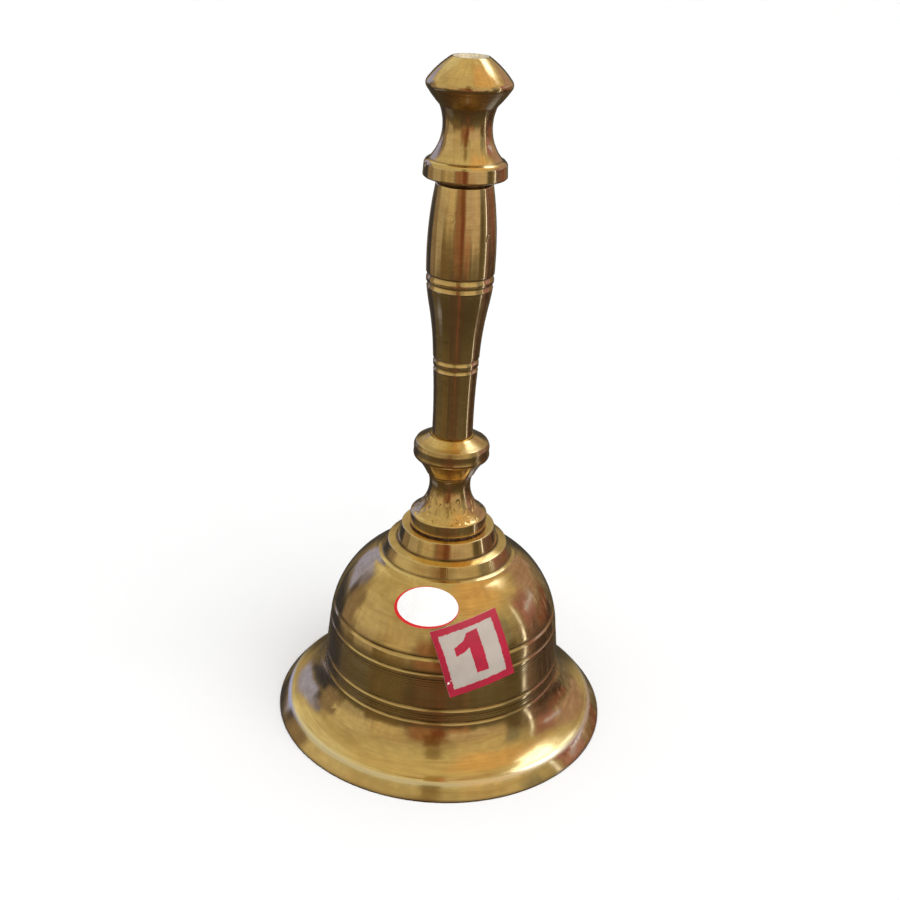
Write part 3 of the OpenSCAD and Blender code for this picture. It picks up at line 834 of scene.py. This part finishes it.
class LabelPlace:
    """Where a label lies on the bell. Its turn and height are those at which its edge, laid on the bell,
    has the same middle as its CAD node."""

    def __init__(self, node, roll, edge):
        co = np.array([v.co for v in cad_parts[node].data.vertices], float) / MM
        self.skin = self.outer_side()
        turn, height = self.middle_of(co)
        wanted = np.array([turn, height])
        at = wanted.copy()
        for _ in range(8):
            self.face(at[0], at[1], roll)
            at += wanted - self.middle_of(self.lay(edge, ABOVE_SKIN))

    @staticmethod
    def middle_of(points):
        """The middle of a set of points, as an angle round the axis from the front and a height."""
        turns = np.arctan2(points[:, 0], -points[:, 1])
        return np.array([turns.min() + turns.max(), points[:, 2].min() + points[:, 2].max()]) / 2

    def face(self, turn, height, roll):
        """Sets the label's middle and its directions."""
        radius = self.radius_at(height)
        lean = math.atan(self.radius_at(height - 0.5) - self.radius_at(height + 0.5))
        out = np.array([math.sin(turn), -math.cos(turn), 0.0])
        right = np.array([math.cos(turn), math.sin(turn), 0.0])
        self.normal = out * math.cos(lean) + np.array([0, 0, math.sin(lean)])
        up = np.array([0, 0, math.cos(lean)]) - out * math.sin(lean)
        self.right = right * math.cos(roll) + up * math.sin(roll)
        self.up = up * math.cos(roll) - right * math.sin(roll)
        self.centre = out * radius + np.array([0, 0, height])

    @staticmethod
    def outer_side():
        """The bell's outer outline without its turned lines, as radii and heights."""
        loop = turned_outline("bell_shell")
        start = int(np.argmax(loop[:, 0]))
        outside = loop[start:]
        turns = turn_at(loop)[start:]
        keep = (turns > DEEP_TURN) & (outside[:, 1] > 12) & (outside[:, 1] < 38.4)
        return outside[keep]

    def radius_at(self, z):
        return np.interp(z, self.skin[:, 1], self.skin[:, 0])

    def lay(self, flat, lift):
        """Points (right, up) in mm on the label, laid on the bell lift mm above its surface."""
        start = self.centre + flat[:, :1] * self.right + flat[:, 1:2] * self.up
        drop = np.zeros(len(flat))
        for _ in range(12):
            p = start - drop[:, None] * self.normal
            gap = np.hypot(p[:, 0], p[:, 1]) - self.radius_at(p[:, 2]) - lift
            drop += gap * 0.9
        return start - drop[:, None] * self.normal


def ragged(corners, step, amount, seed):
    """Points along a closed outline in steps of about step mm, moved off it at random by up to
    amount mm."""
    rng = np.random.default_rng(seed)
    corners = np.array(corners, float)
    out = []
    for a, b in zip(corners, np.roll(corners, -1, axis=0)):
        size = np.linalg.norm(b - a)
        steps = max(1, round(size / step))
        across = np.array([b[1] - a[1], a[0] - b[0]]) / size
        out.append(a)
        for k in range(1, steps):
            out.append(a + (b - a) * k / steps + across * rng.uniform(-amount, amount))
    return np.array(out)


def inside_outline(points, outline):
    """Which points lie inside a closed outline."""
    x, y = points[:, 0][:, None], points[:, 1][:, None]
    x0, y0 = outline[:, 0][None], outline[:, 1][None]
    x1, y1 = np.roll(outline[:, 0], -1)[None], np.roll(outline[:, 1], -1)[None]
    spans = (y0 > y) != (y1 > y)
    crossing = x0 + (y - y0) * (x1 - x0) / np.where(y1 == y0, 1e-9, y1 - y0)
    return np.sum(spans & (x < crossing), axis=1) % 2 == 1


def triangles(outlines, step):
    """The first outline's inside as points and triangles that keep to all the outlines."""
    edge = outlines[0]
    (left, low), (right, high) = edge.min(axis=0), edge.max(axis=0)
    inner = np.stack(np.meshgrid(np.arange(left, right, step), np.arange(low, high, step)), -1).reshape(-1, 2)
    gaps = [np.min(np.linalg.norm(inner[:, None] - o[None], axis=2), axis=1) for o in outlines]
    inner = inner[inside_outline(inner, edge) & (np.min(gaps, axis=0) > 0.3 * step)]
    points = np.vstack([*outlines, inner])
    sides, first = [], 0
    for o in outlines:
        sides += [(first + k, first + (k + 1) % len(o)) for k in range(len(o))]
        first += len(o)
    verts, _, faces, *_ = delaunay_2d_cdt([Vector(p) for p in points.tolist()], sides, [], 0, 1e-6)
    flat = np.array([v[:] for v in verts])
    faces = np.array([f[:] for f in faces if len(f) == 3])
    return flat, faces[inside_outline(flat[faces].mean(axis=1), edge)]


def label(name, place, outlines, materials, paper, thickness=0.12, curl=None):
    """A thin printed solid on the bell. The first outline is its edge, and each later one is printed over the
    ones before it. materials go with the outlines, and paper is the material of its cut edge and back."""
    flat, faces = triangles(outlines, 0.5)
    print_of = np.zeros(len(faces), int)
    for k, o in enumerate(outlines[1:], start=1):
        print_of[inside_outline(flat[faces].mean(axis=1), o)] = k
    lift = place.normal * (curl(flat) if curl else np.zeros(len(flat)))[:, None]
    front, back = (place.lay(flat, above) + lift for above in (ABOVE_SKIN + thickness, ABOVE_SKIN))
    wall = {}                               # the sides that only one triangle has
    for a, b, c in faces.tolist():
        for p, q in ((a, b), (b, c), (c, a)):
            if wall.pop((q, p), None) is None:
                wall[p, q] = True
    count = len(flat)
    walls = [[p, p + count, q + count, q] for p, q in wall]
    all_faces = faces.tolist() + (faces[:, ::-1] + count).tolist() + walls
    mesh = new_mesh(name, np.vstack([front, back]) * MM, all_faces, [*materials, paper])
    unprinted = [len(materials)] * (len(faces) + len(walls))
    mesh.polygons.foreach_set("material_index", [*print_of, *unprinted])
    mesh.shade_smooth()
    mesh.set_sharp_from_angle(angle=math.radians(40))
    return linked(name, mesh)


def number_label(ink, field, paper):
    """The square lot label: a crimson border and a plain crimson 1 on a pale field."""
    half, border = LABEL_SIDE / 2, 1.4
    edge = ragged([(-half, -half), (half, -half), (half, half), (-half, half)], 0.8, 0.03, 41)
    place = LabelPlace("number_label", math.radians(LABEL_ROLL), edge)
    inner = half - border
    pale = ragged([(-inner - 0.1, -inner + 0.1), (inner - 0.2, -inner + 0.2),
                   (inner - 0.2, inner + 0.1), (-inner - 0.2, inner)], 0.30, 0.09, 42)
    one = ragged([(-0.55, -3.75), (2.05, -3.85), (2.0, 5.1), (-0.45, 4.95), (-1.35, 3.75), (-3.75, 2.75),
                  (-3.7, 0.95), (-2.0, 1.35), (-0.7, 2.0)], 0.30, 0.06, 43)
    chip = ragged([(-half + 0.25, -4.35), (-half + 0.75, -4.25), (-half + 0.7, -3.8),
                   (-half + 0.3, -3.9)], 0.3, 0.05, 44)
    nick = ragged([(-half + 0.95, -3.75), (-half + 1.25, -3.8), (-half + 1.2, -3.5)], 0.3, 0.03, 45)

    def curl(flat):
        corner = np.clip((flat[:, 0] - flat[:, 1] - 1.62 * half) / 2.4, 0, 1)
        other = np.clip((-flat[:, 0] - flat[:, 1] - 1.7 * half) / 2.0, 0, 1)
        return 0.22 * corner ** 2 + 0.12 * other ** 2

    return label("lot_label", place, [edge, pale, one, chip, nick], [ink, field, ink, paper, paper], paper,
                 curl=curl)


def blank_label(face, border, paper):
    """The plain oval label, with a red border that is widest at its lower left."""
    turn = np.arange(72) * 2 * np.pi / 72
    edge = np.c_[OVAL_HALF[0] * np.cos(turn), OVAL_HALF[1] * np.sin(turn)]
    place = LabelPlace("blank_label", math.radians(OVAL_ROLL), edge)
    inner = edge * [0.943, 0.936] + [0.26, 0.18]
    return label("oval_label", place, [edge, inner], [border, face], paper, thickness=0.10)


# ---------------------------------------------------------------- camera, floor and light

SENSOR, LENS = 36.0, 50.68                      # mm
CAMERA_AT = (-0.0001, -0.2387, 0.1724)
CAMERA_TURN, CAMERA_DOWN, CAMERA_ROLL = (math.radians(a) for a in (0.05, 24.80, 2.82))


def direction(azimuth, elevation):
    """Unit vector to a place round the bell. Azimuth, from the front to the right, and elevation are in
    degrees."""
    a, e = math.radians(azimuth), math.radians(elevation)
    return Vector((math.sin(a) * math.cos(e), -math.cos(a) * math.cos(e), math.sin(e)))


def add_camera():
    """The reference view: from in front and above, close to the bell, and rolled a little."""
    data = bpy.data.cameras.new("camera")
    data.sensor_width, data.lens = SENSOR, LENS
    data.clip_start, data.clip_end = 0.01, 50.0
    camera = linked("camera", data)
    look = (Matrix.Rotation(CAMERA_TURN, 4, "Z") @ Matrix.Rotation(math.pi / 2 - CAMERA_DOWN, 4, "X")
            @ Matrix.Rotation(CAMERA_ROLL, 4, "Z"))
    camera.matrix_world = Matrix.Translation(CAMERA_AT) @ look
    bpy.context.scene.camera = camera


def add_floor():
    """A plain pale floor. It doesn't show in the metal, which mirrors the darker room instead."""
    count, size = 96, 3.5
    turn = np.arange(count) * 2 * np.pi / count
    rim = np.c_[size * np.cos(turn), size * np.sin(turn), 0 * turn]
    t = Tree(bpy.data.materials.new("floor_paper"))
    shade = t.blend(t.noise(t.place(), 40.0, 3.0), rgb(0.83, 0.83, 0.83), rgb(0.85, 0.85, 0.85))
    paper = t.surface("ShaderNodeBsdfPrincipled",
                      {"Base Color": shade, "Roughness": 0.9, "Specular IOR Level": 0.1})
    floor = linked("floor", new_mesh("floor", rim, [list(range(count))], [paper]))
    floor.visible_glossy = False


# What the metal mirrors: (name, azimuth, elevation, half width, half height, softness, colour), in degrees.
# Later cards hide earlier ones. Azimuth is 0 at the front and grows to the right.
STUDIO_CARDS = [
    ("ceiling_right", 70, 62, 45, 22, 26, (0.70, 0.47, 0.24)),
    ("wall_left_high", -138, 45, 20, 15, 12, (0.66, 0.62, 0.46)),
    ("wall_left", -80, 14, 23, 17, 10, (0.56, 0.49, 0.35)),
    ("wall_front_left", -45, 11, 17, 21, 8, (0.50, 0.41, 0.27)),
    ("wall_front_right", 40, 16, 22, 25, 8, (0.57, 0.48, 0.31)),
    ("corner_right", 68, 8, 7, 18, 5, (0.26, 0.24, 0.20)),
    ("low_left", -82, -9, 13, 9, 6, (0.40, 0.34, 0.26)),
    ("low_front_left", -52, -17, 18, 9, 7, (0.15, 0.105, 0.055)),
    ("low_front_right", 47, -4, 15, 10, 6, (0.52, 0.42, 0.31)),
    ("low_right", 70, -14, 8, 14, 6, (0.115, 0.09, 0.055)),
    ("standing_shade", -8, 0, 17, 17, 8, (0.29, 0.150, 0.092)),
    ("standing_light", 19, -13, 9, 8, 6, (0.36, 0.19, 0.115)),
    ("standing_pale", 24, 3, 15, 10, 6, (0.52, 0.42, 0.33)),
    ("standing_top", -4, 46, 8, 13, 5, (0.27, 0.21, 0.11)),
    ("standing_core", -5, 14, 7, 15, 6, (0.18, 0.085, 0.036)),
    ("standing_red", 1, -8, 5, 11, 5, (0.18, 0.060, 0.035)),
    ("standing_foot", -4, -31, 32, 12, 6, (0.085, 0.060, 0.042)),
    ("standing_low_red", 1, -34, 5, 8, 6, (0.17, 0.072, 0.048)),
    ("dark_left_high", -121, 9, 10, 9, 4, (0.08, 0.068, 0.08)),
    ("dark_left", -131, -20, 17, 15, 7, (0.045, 0.045, 0.062)),
    ("window_left", -138, 13, 13, 13, 5, (0.36, 0.40, 0.83)),
    ("window_left_edge", -121, 20, 5, 7, 4, (0.21, 0.22, 0.44)),
    ("side_left", -109, 0, 10, 20, 7, (0.25, 0.195, 0.155)),
    ("rose_right", 104, 15, 12, 14, 5, (0.34, 0.16, 0.18)),
    ("pale_right", 134, 18, 17, 14, 6, (0.42, 0.29, 0.27)),
    ("low_rose_right", 100, -14, 10, 15, 6, (0.15, 0.09, 0.09)),
    ("brown_right", 125, -8, 14, 8, 4, (0.20, 0.085, 0.065)),
    ("dark_right", 122, -22, 20, 9, 5, (0.045, 0.028, 0.022)),
    ("blue_bar_right", 111, 13, 9, 2.4, 2, (0.60, 0.62, 1.0)),
    ("glow_right", 130, 48, 25, 7, 6, (1.0, 0.95, 0.88)),
    ("window_right", 129, 54, 22, 7, 4, (2.6, 2.7, 2.95)),
    ("window_back_right", 153, 50, 9, 9, 4, (1.6, 1.7, 1.9)),
    ("low_strip_left", -97, -36, 25, 2.6, 2, (0.30, 0.32, 0.52)),
    ("low_window_right", 142, -48, 15, 8, 5, (0.40, 0.44, 0.60)),
    ("back", 180, -9, 21, 28, 9, (0.070, 0.066, 0.068)),
    ("window_behind", 166, 40, 7, 4, 3, (1.9, 1.9, 1.85)),
]
# A narrow upright lamp at the right: azimuth, lowest and highest elevation, half width, colour.
LAMP_STRIP = (87.5, -34, 30, 1.5, (1.4, 1.45, 1.8))
# The plain room behind the cards, from straight down to straight up: (elevation, colour).
ROOM_SHADES = [
    (-90, (0.17, 0.075, 0.030)), (-45, (0.058, 0.042, 0.028)), (-25, (0.100, 0.083, 0.052)),
    (0, (0.22, 0.18, 0.13)), (15, (0.40, 0.34, 0.23)), (45, (0.54, 0.47, 0.30)), (90, (0.64, 0.54, 0.32)),
]


def room_ramp(t, elevation):
    """The plain room's colour at an elevation in degrees."""
    ramp = t.node("ShaderNodeValToRGB", {0: t.math("MULTIPLY_ADD", elevation, 1 / 180, 0.5)})
    stops = ramp.socket.node.color_ramp.elements
    for k, (at, shade) in enumerate(ROOM_SHADES):
        place = at / 180 + 0.5
        stop = stops[0] if k == 0 else stops[-1] if k == len(ROOM_SHADES) - 1 else stops.new(place)
        stop.position, stop.color = place, rgb(*shade)
    return ramp


def with_card(t, light, azimuth, elevation, turn, height, half_width, half_height, soft, shade):
    """The light with a soft card in front of it."""
    across = t.math("ABSOLUTE", t.math("WRAP", azimuth - turn, 180.0, -180.0))
    upward = t.math("ABSOLUTE", elevation - height)
    share = (t.falls(across, half_width - soft / 2, half_width + soft / 2)
             * t.falls(upward, half_height - soft / 2, half_height + soft / 2))
    return t.blend(share, light, rgb(*shade))


def with_clutter(t, light, look, azimuth, elevation):
    """The light with small light and dark things, mostly at the right."""
    crowd = t.noise(look, 21.0, 4.0, 0.75)
    right_side = t.steps(azimuth, 70, 95) * t.falls(elevation, 30, 43) * t.falls(azimuth, 145, 165)
    light = t.blend(t.steps(crowd, 0.56, 0.64) * (right_side * 0.65), light, rgb(0.72, 0.58, 0.58))
    return t.blend(t.falls(crowd, 0.36, 0.45) * (right_side * 0.80), light, rgb(0.075, 0.030, 0.025))


def with_lamp(t, light, azimuth, elevation, turn, low, high, half_width, shade):
    """The light with a narrow upright lamp, that is weaker in its upper part."""
    across = t.math("ABSOLUTE", azimuth - turn)
    share = (t.falls(across, 0.6 * half_width, 1.4 * half_width)
             * (t.steps(elevation, low, low + 6) * t.falls(elevation, high - 3, high)))
    return t.blend(share * t.steps(elevation, -4, 8, 1.0, 0.6), light, rgb(*shade))


def add_room():
    """A plain studio of soft cards round the bell, as the world's light. Only what shines sees it."""
    world = bpy.data.worlds.new("studio")
    bpy.context.scene.world = world
    t = Tree(world)
    look = t.place("Generated")
    x, y, z = t.split(look)
    plain_azimuth = t.math("ARCTAN2", x, y * -1.0) * (180 / math.pi)
    elevation = t.math("ARCSINE", z) * (180 / math.pi)
    # Uneven edges: what stands in the room isn't square.
    azimuth = plain_azimuth + (t.noise(look, 7.0, 4.0, 0.6) - 0.5) * 16.0
    elevation = elevation + (t.noise(t.stretched(look, (-1, 1, -1)), 6.0, 4.0, 0.6) - 0.5) * 14.0
    light = room_ramp(t, elevation)
    for _, *card in STUDIO_CARDS:
        light = with_card(t, light, azimuth, elevation, *card)
    light = with_clutter(t, light, look, azimuth, elevation)
    light = with_lamp(t, light, plain_azimuth, elevation, *LAMP_STRIP)
    # Uneven light, and fine upright streaks as a lathe-turned wall of metal shows them.
    streaks = t.noise(t.join(x * 26.0, y * 26.0, z * 1.3), 1.0, 4.0, 0.7)
    mottle = (t.steps(t.noise(look, 11.0, 3.0, 0.6), 0.3, 0.7, 0.86, 1.14)
              * t.steps(streaks, 0.3, 0.7, 0.85, 1.15))
    t.surface("ShaderNodeBackground", {"Color": light, "Strength": mottle}, "World")
    seen = world.cycles_visibility
    seen.diffuse = seen.camera = seen.transmission = False


def add_sun(name, azimuth, elevation, strength, spread):
    """Soft even light from one side. It lights paper and floor, and isn't mirrored."""
    data = bpy.data.lights.new(name, "SUN")
    data.energy, data.angle = strength, math.radians(spread)
    lamp = linked(name, data)
    lamp.rotation_mode = "QUATERNION"
    lamp.rotation_quaternion = (-direction(azimuth, elevation)).to_track_quat("-Z", "Y")
    lamp.visible_glossy = False


def add_backdrop():
    """A plain pale backdrop far behind everything, which only the camera sees."""
    rows, columns, size = 24, 48, 5.0
    angle = np.arange(columns) * 2 * np.pi / columns
    lift = np.linspace(-np.pi / 2 + 0.01, np.pi / 2 - 0.01, rows)[:, None]
    grid = np.stack([size * np.cos(lift) * np.cos(angle), size * np.cos(lift) * np.sin(angle),
                     size * np.sin(lift) + 0 * angle], -1)
    faces = []
    for i in range(rows - 1):
        for j in range(columns):
            j2 = (j + 1) % columns
            faces.append([i * columns + j, i * columns + j2, (i + 1) * columns + j2, (i + 1) * columns + j])
    t = Tree(bpy.data.materials.new("backdrop_paper"))
    paper = t.surface("ShaderNodeEmission", {"Color": rgb(1.0, 1.0, 1.0), "Strength": 1.0})
    dome = linked("backdrop", new_mesh("backdrop", grid.reshape(-1, 3), faces, [paper]))
    dome.visible_glossy = dome.visible_diffuse = dome.visible_shadow = dome.visible_transmission = False


# ---------------------------------------------------------------- the bell

BRASS = (0.86, 0.66, 0.30)

bell_metal = brass("bell_brass", BRASS, 0.12, 0.35, 0.35, anisotropic=0.88, scratches=0.25,
                   chatter=(38.9, 41.2, 210, 1.4))
inside_metal = brass("bell_inside_brass", (0.62, 0.43, 0.18), 0.36, 0.8, 2.2, anisotropic=0.4)
handle_metal = brass("handle_brass", (0.90, 0.69, 0.33), 0.12, 0.25, 0.7, anisotropic=0.85, scratches=0.7)
foot_metal = brass("foot_brass", (0.85, 0.64, 0.29), 0.16, 0.40, 1.0, anisotropic=0.75, pits=0.45)
rod_metal = brass("rod_brass", (0.80, 0.72, 0.54), 0.36, 0.3, 1.2, anisotropic=0.0, pits=0.9, chalk=0.35)
recess_metal = brass("recess_brass", (0.80, 0.74, 0.58), 0.40, 0.15, 2.0, anisotropic=0.0, pits=0.9,
                     chalk=0.45)
fitting_metal = brass("fitting_brass", (0.66, 0.48, 0.22), 0.34, 0.6, 1.6, anisotropic=0.3)
wire_metal = brass("wire_brass", (0.58, 0.40, 0.18), 0.32, 0.8, 0.8, anisotropic=0.0)
clapper_metal = brass("clapper_brass", (0.74, 0.54, 0.25), 0.24, 0.6, 1.2, anisotropic=0.4)
packing = rubbery("packing")
crimson = printed("label_crimson", (0.40, 0.0015, 0.028), (0.33, 0.001, 0.022), 0.42, 0.05)
field = printed("label_field", (0.44, 0.375, 0.32), (0.40, 0.34, 0.29), 0.34, 0.3)
white_paper = printed("label_paper", (0.80, 0.76, 0.74), (0.74, 0.70, 0.67), 0.6, 0.0)
red_ink = printed("label_red", (0.64, 0.002, 0.004), (0.56, 0.002, 0.003), 0.40, 0.05)
white_gloss = printed("label_white", (0.86, 0.86, 0.85), (0.82, 0.82, 0.80), 0.28, 0.5)

placed(bell_shell(bell_metal, inside_metal), "bell", "bell_brass", "bell_shell")
placed(handle_foot(foot_metal), "bell", "handle_brass", "handle_foot")
placed(handle_grip(handle_metal), "bell", "handle_brass", "handle_grip")
placed(handle_finial(handle_metal, recess_metal), "bell", "handle_brass", "handle_finial")
placed(crown_packing(packing), "bell", "packing", "crown_packing")
placed(crown_washer(fitting_metal), "bell", "fitting_brass", "crown_washer")
placed(tie_rod(rod_metal), "bell", "rod_brass", "tie_rod")
placed(clamp_nut(fitting_metal), "bell", "fitting_brass", "clamp_nut")
placed(bevelled_copy("eye_brass", "clapper_eye", 0.25, fitting_metal), "bell", "fitting_brass",
       "clapper_eye")
placed(bent_wire(wire_metal), "link", "wire_brass", "clapper_link")
placed(clapper_loop(clapper_metal), "clapper", "clapper_brass", "clapper_stem")
placed(clapper_shank(clapper_metal), "clapper", "clapper_brass", "clapper_stem")
placed(clapper_ball(clapper_metal), "clapper", "clapper_brass", "clapper_ball")
placed(number_label(crimson, field, white_paper), "bell", "number_label", "number_label")
placed(blank_label(white_gloss, red_ink, white_paper), "bell", "blank_label", "blank_label")

add_camera()
add_floor()
add_backdrop()
add_room()
add_sun("ceiling_light", 20, 80, 3.0, 120)
add_sun("window_light", 40, 40, 1.4, 70)
bpy.context.scene.view_settings.view_transform = "Standard"
